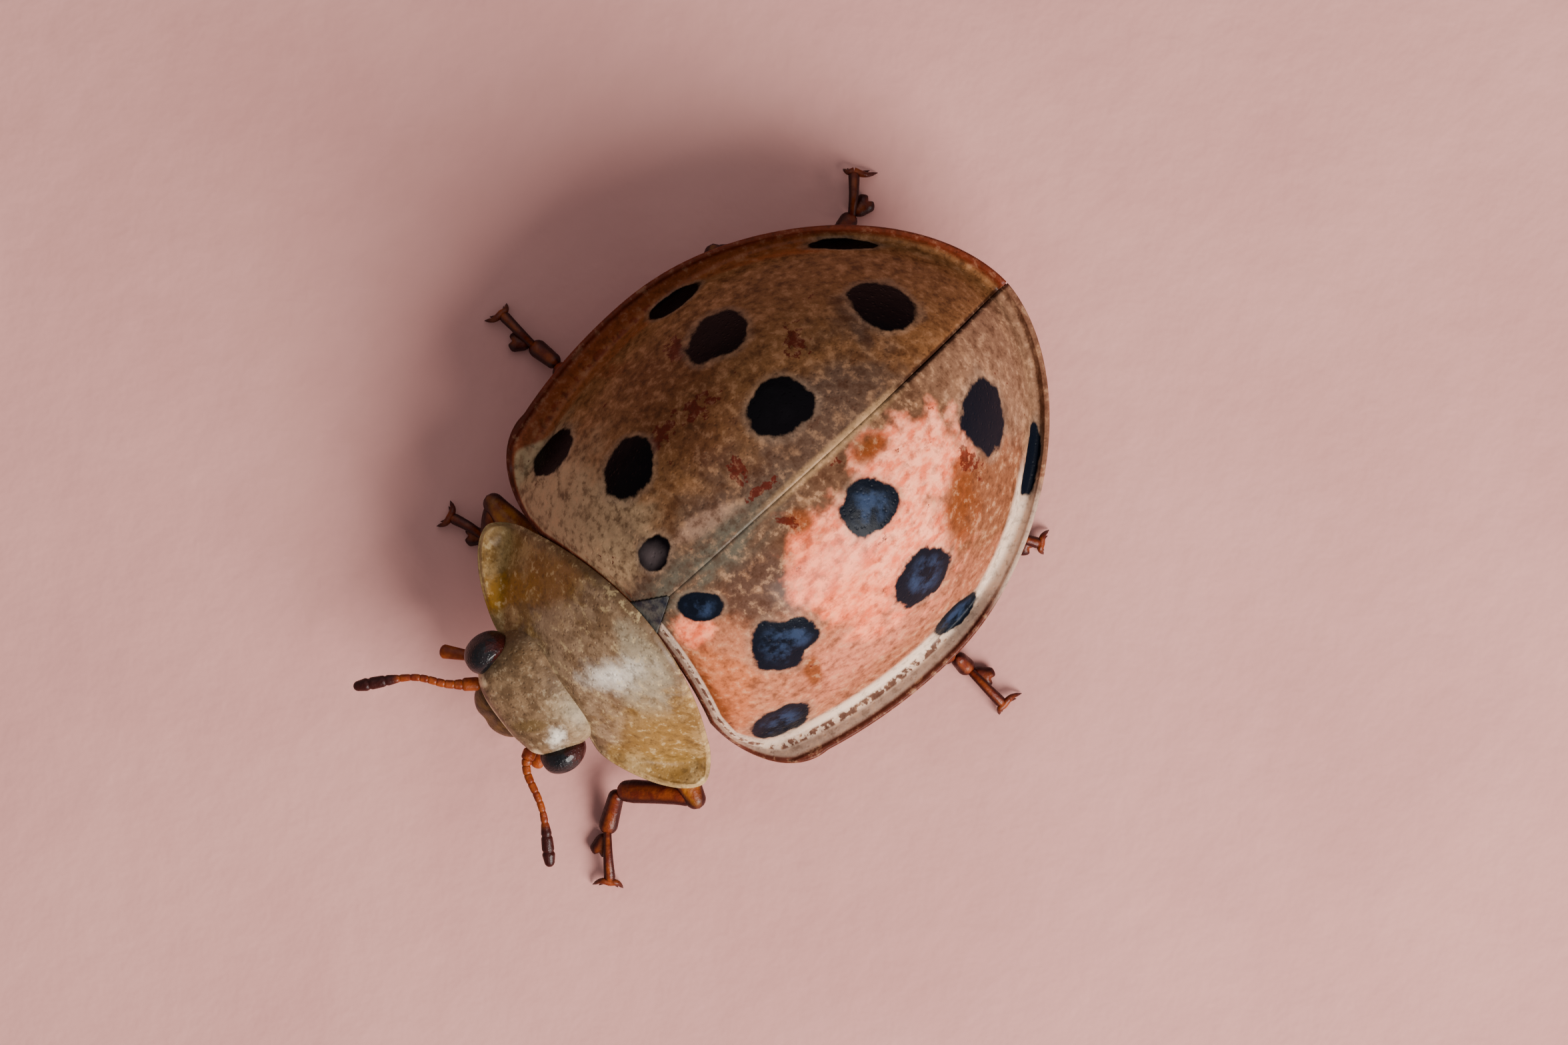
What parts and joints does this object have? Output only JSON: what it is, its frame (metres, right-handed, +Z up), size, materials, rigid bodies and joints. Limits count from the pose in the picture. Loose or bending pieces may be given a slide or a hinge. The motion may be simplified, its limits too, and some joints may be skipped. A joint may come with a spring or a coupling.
{
  "type": "ladybird",
  "caption": "Ladybird beetle standing still, with a spotted domed shell, pale pronotum and head, clubbed feelers and jointed legs; a life-size still model.",
  "frame": {"origin": "centre of the footprint, on the surface that the six feet stand on", "axes": "+Z up, head towards -Y, the ladybird's left on +X"},
  "size_m": [0.0066, 0.0078, 0.0035],
  "materials": {
    "elytron": "satin orange-brown cuticle; the round black spots are drawn in the visual model",
    "pronotum": "satin yellow-brown cuticle",
    "head": "satin pale tan cuticle",
    "scutellum": "satin dark brown cuticle",
    "eye": "glossy black, finely faceted",
    "leg": "satin red-brown cuticle",
    "feeler": "satin red-brown cuticle",
    "underside": "dull brown cuticle"
  },
  "bodies": {
    "root": {"head": "head", "labrum": "head", "pronotum": "pronotum", "prothorax": "underside", "scutellum": "scutellum", "elytron_left": "elytron", "elytron_right": "elytron", "thorax": "underside", "abdomen": "underside", "eye_left": "eye", "antenna_left": "feeler", "palp_left": "feeler", "eye_right": "eye", "antenna_right": "feeler", "palp_right": "feeler", "coxa_left_front": "leg", "femur_left_front": "leg", "tibia_left_front": "leg", "tarsus_left_front": "leg", "coxa_right_front": "leg", "femur_right_front": "leg", "tibia_right_front": "leg", "tarsus_right_front": "leg", "coxa_left_middle": "leg", "femur_left_middle": "leg", "tibia_left_middle": "leg", "tarsus_left_middle": "leg", "coxa_right_middle": "leg", "femur_right_middle": "leg", "tibia_right_middle": "leg", "tarsus_right_middle": "leg", "coxa_left_hind": "leg", "femur_left_hind": "leg", "tibia_left_hind": "leg", "tarsus_left_hind": "leg", "coxa_right_hind": "leg", "femur_right_hind": "leg", "tibia_right_hind": "leg", "tarsus_right_hind": "leg"}
  },
  "joints": []
}
